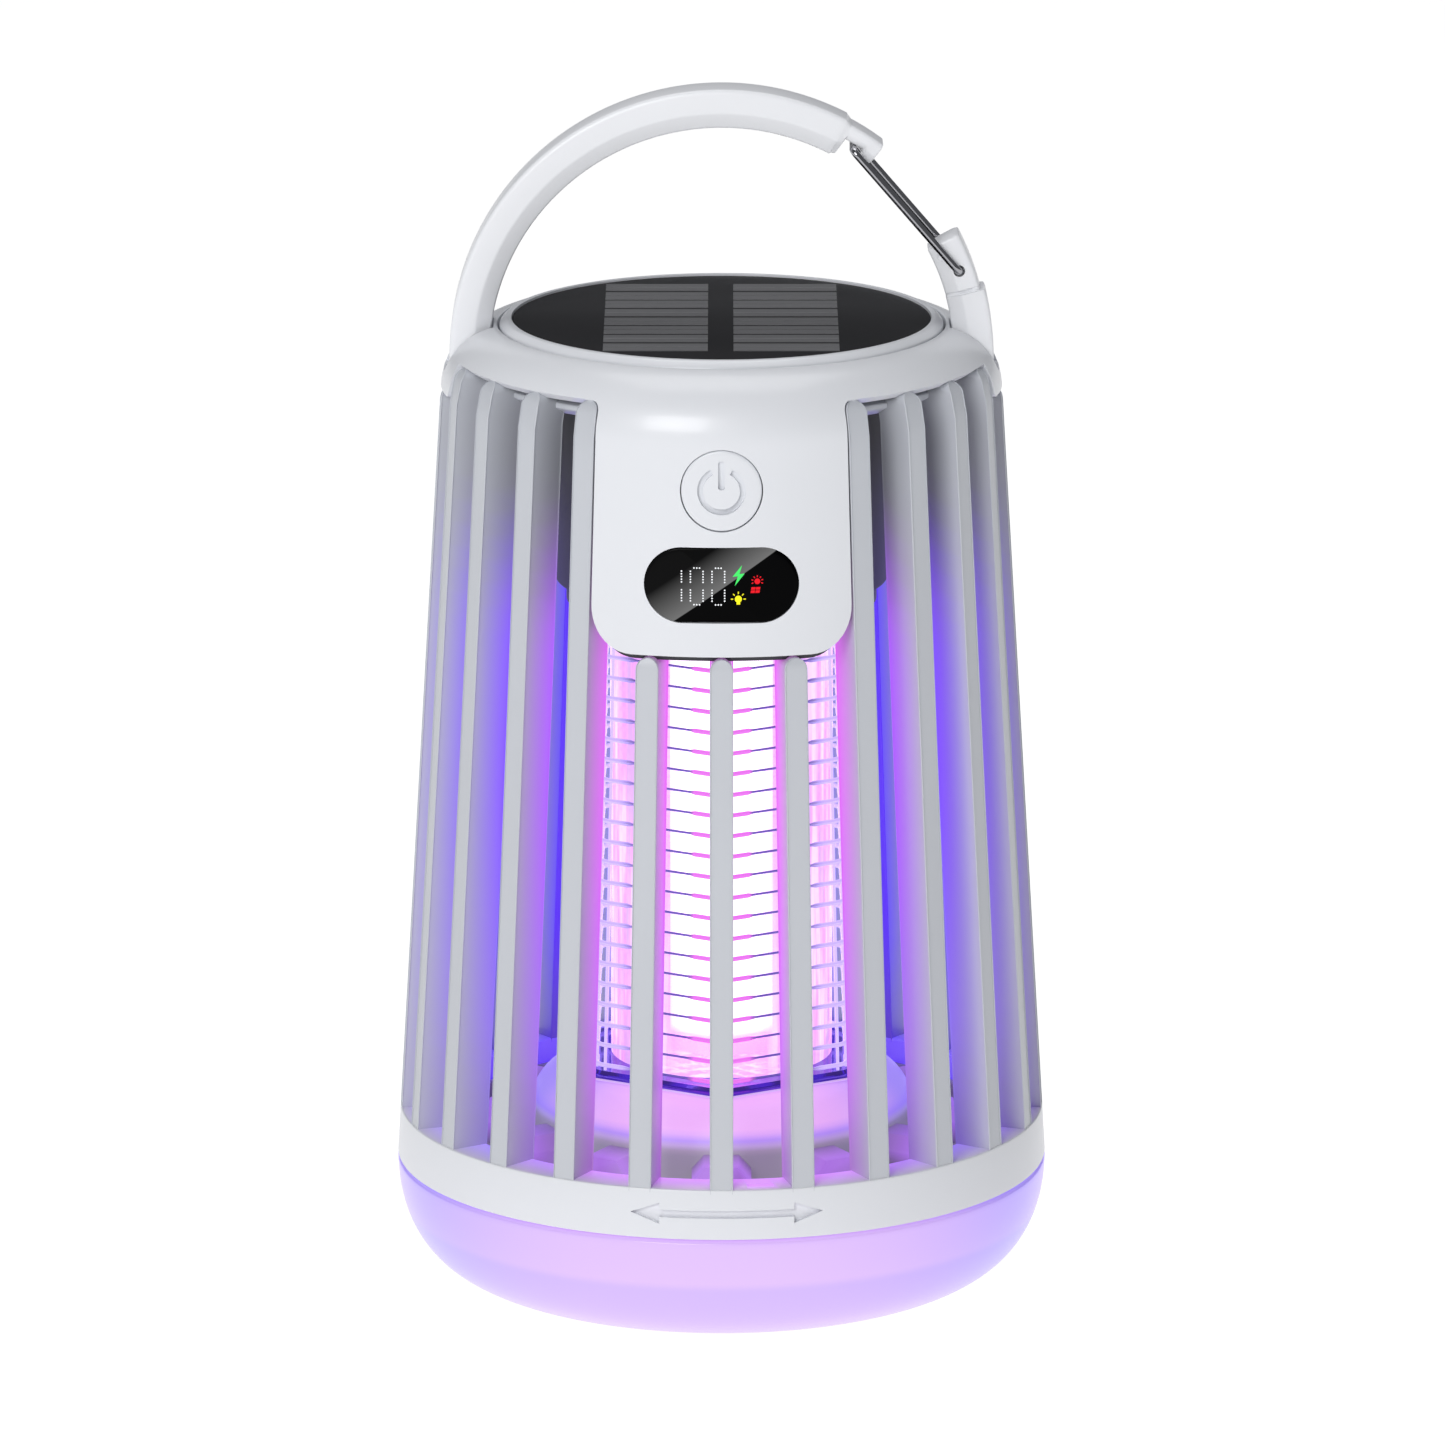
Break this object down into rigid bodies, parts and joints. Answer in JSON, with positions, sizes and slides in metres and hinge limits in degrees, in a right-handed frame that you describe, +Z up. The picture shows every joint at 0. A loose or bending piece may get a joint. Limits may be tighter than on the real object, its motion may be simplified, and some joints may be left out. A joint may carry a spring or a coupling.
{
  "type": "electric bug zapper",
  "caption": "Lantern-shaped electric bug zapper: a finned cone cage round a high-voltage grid and UV lamp, with a solar head, a light-up base and a carabiner handle.",
  "frame": {"origin": "centre of the round foot, on the surface that it stands on", "axes": "+Z up through the cage, -Y towards the front with the button and display, +X to the viewer's right"},
  "size_m": [0.128, 0.128, 0.2378],
  "materials": {
    "shell_white": "satin moulded ABS",
    "fin_grey": "satin moulded ABS, cool light grey",
    "window_black": "polished smoked acrylic",
    "solar_black": "epoxy-coated solar cells",
    "cover_rubber": "soft moulded rubber",
    "drum_grey": "fine-grained moulded plastic",
    "component_black": "potted component bodies",
    "board_green": "solder-masked circuit board",
    "cell_blue": "shrink-wrapped cell",
    "steel": "bright drawn wire",
    "grid_metal": "plated steel wire, violet in the lamp's light",
    "lamp_clear": "clear tube",
    "led_white": "white reflective board with lit diodes",
    "lens_lilac": "milky translucent plastic, lit lilac"
  },
  "bodies": {
    "housing": {"cage_band": "shell_white", "fin_00": "fin_grey", "fin_01": "fin_grey", "fin_02": "fin_grey", "fin_03": "fin_grey", "fin_04": "fin_grey", "fin_05": "fin_grey", "fin_06": "fin_grey", "fin_07": "fin_grey", "fin_08": "fin_grey", "fin_09": "fin_grey", "fin_10": "fin_grey", "fin_11": "fin_grey", "fin_12": "fin_grey", "fin_13": "fin_grey", "fin_14": "fin_grey", "fin_15": "fin_grey", "fin_16": "fin_grey", "fin_17": "fin_grey", "fin_18": "fin_grey", "fin_19": "fin_grey", "fin_20": "fin_grey", "fin_21": "fin_grey", "fin_22": "fin_grey", "fin_23": "fin_grey", "fin_24": "fin_grey", "cage_top_ring": "fin_grey", "top_cap": "shell_white", "solar_bezel": "shell_white", "solar_panel": "solar_black", "display_window": "window_black", "electronics_drum": "drum_grey", "control_box": "drum_grey", "port_box": "drum_grey", "button_switch": "component_black", "display_board": "board_green", "main_board": "board_green", "hv_transformer": "component_black", "battery_cell": "cell_blue", "charge_port": "steel", "grid_top_plate": "drum_grey", "plate_screw_0": "steel", "plate_screw_1": "steel", "grid_face_0": "grid_metal", "grid_face_1": "grid_metal", "grid_face_2": "grid_metal", "grid_face_3": "grid_metal", "grid_face_4": "grid_metal", "grid_face_5": "grid_metal", "grid_base_plate": "grid_metal", "lamp_sleeve": "lamp_clear", "uv_lamp": "led_white", "handle_arch": "shell_white", "handle_stub": "shell_white"},
    "base": {"base_lens": "lens_lilac", "base_tray": "fin_grey", "light_board": "board_green"},
    "button": {"power_button": "shell_white"},
    "cover": {"port_cover": "cover_rubber"},
    "gate": {"gate_wire": "steel"}
  },
  "joints": [
    {"name": "base_twist", "type": "hinge", "parent": "housing", "child": "base", "pos_m": [0, 0, 0.0246], "axis": [0, 0, 1], "range_deg": [0, 15]},
    {"name": "button_press", "type": "slide", "parent": "housing", "child": "button", "axis": [0, 1, 0], "range_m": [0, 0.0008], "stiffness_N_per_m": 900, "springref_m": -0.0002},
    {"name": "gate_swing", "type": "hinge", "parent": "housing", "child": "gate", "pos_m": [0.046, 0, 0.2022], "axis": [0, -1, 0], "range_deg": [0, 38], "stiffness_Nm_per_rad": 0.02, "springref_deg": -20.05},
    {"name": "cover_flap", "type": "hinge", "parent": "housing", "child": "cover", "pos_m": [0, 0.05638, 0.1475], "axis": [-1, 0, 0], "range_deg": [0, 110]}
  ]
}
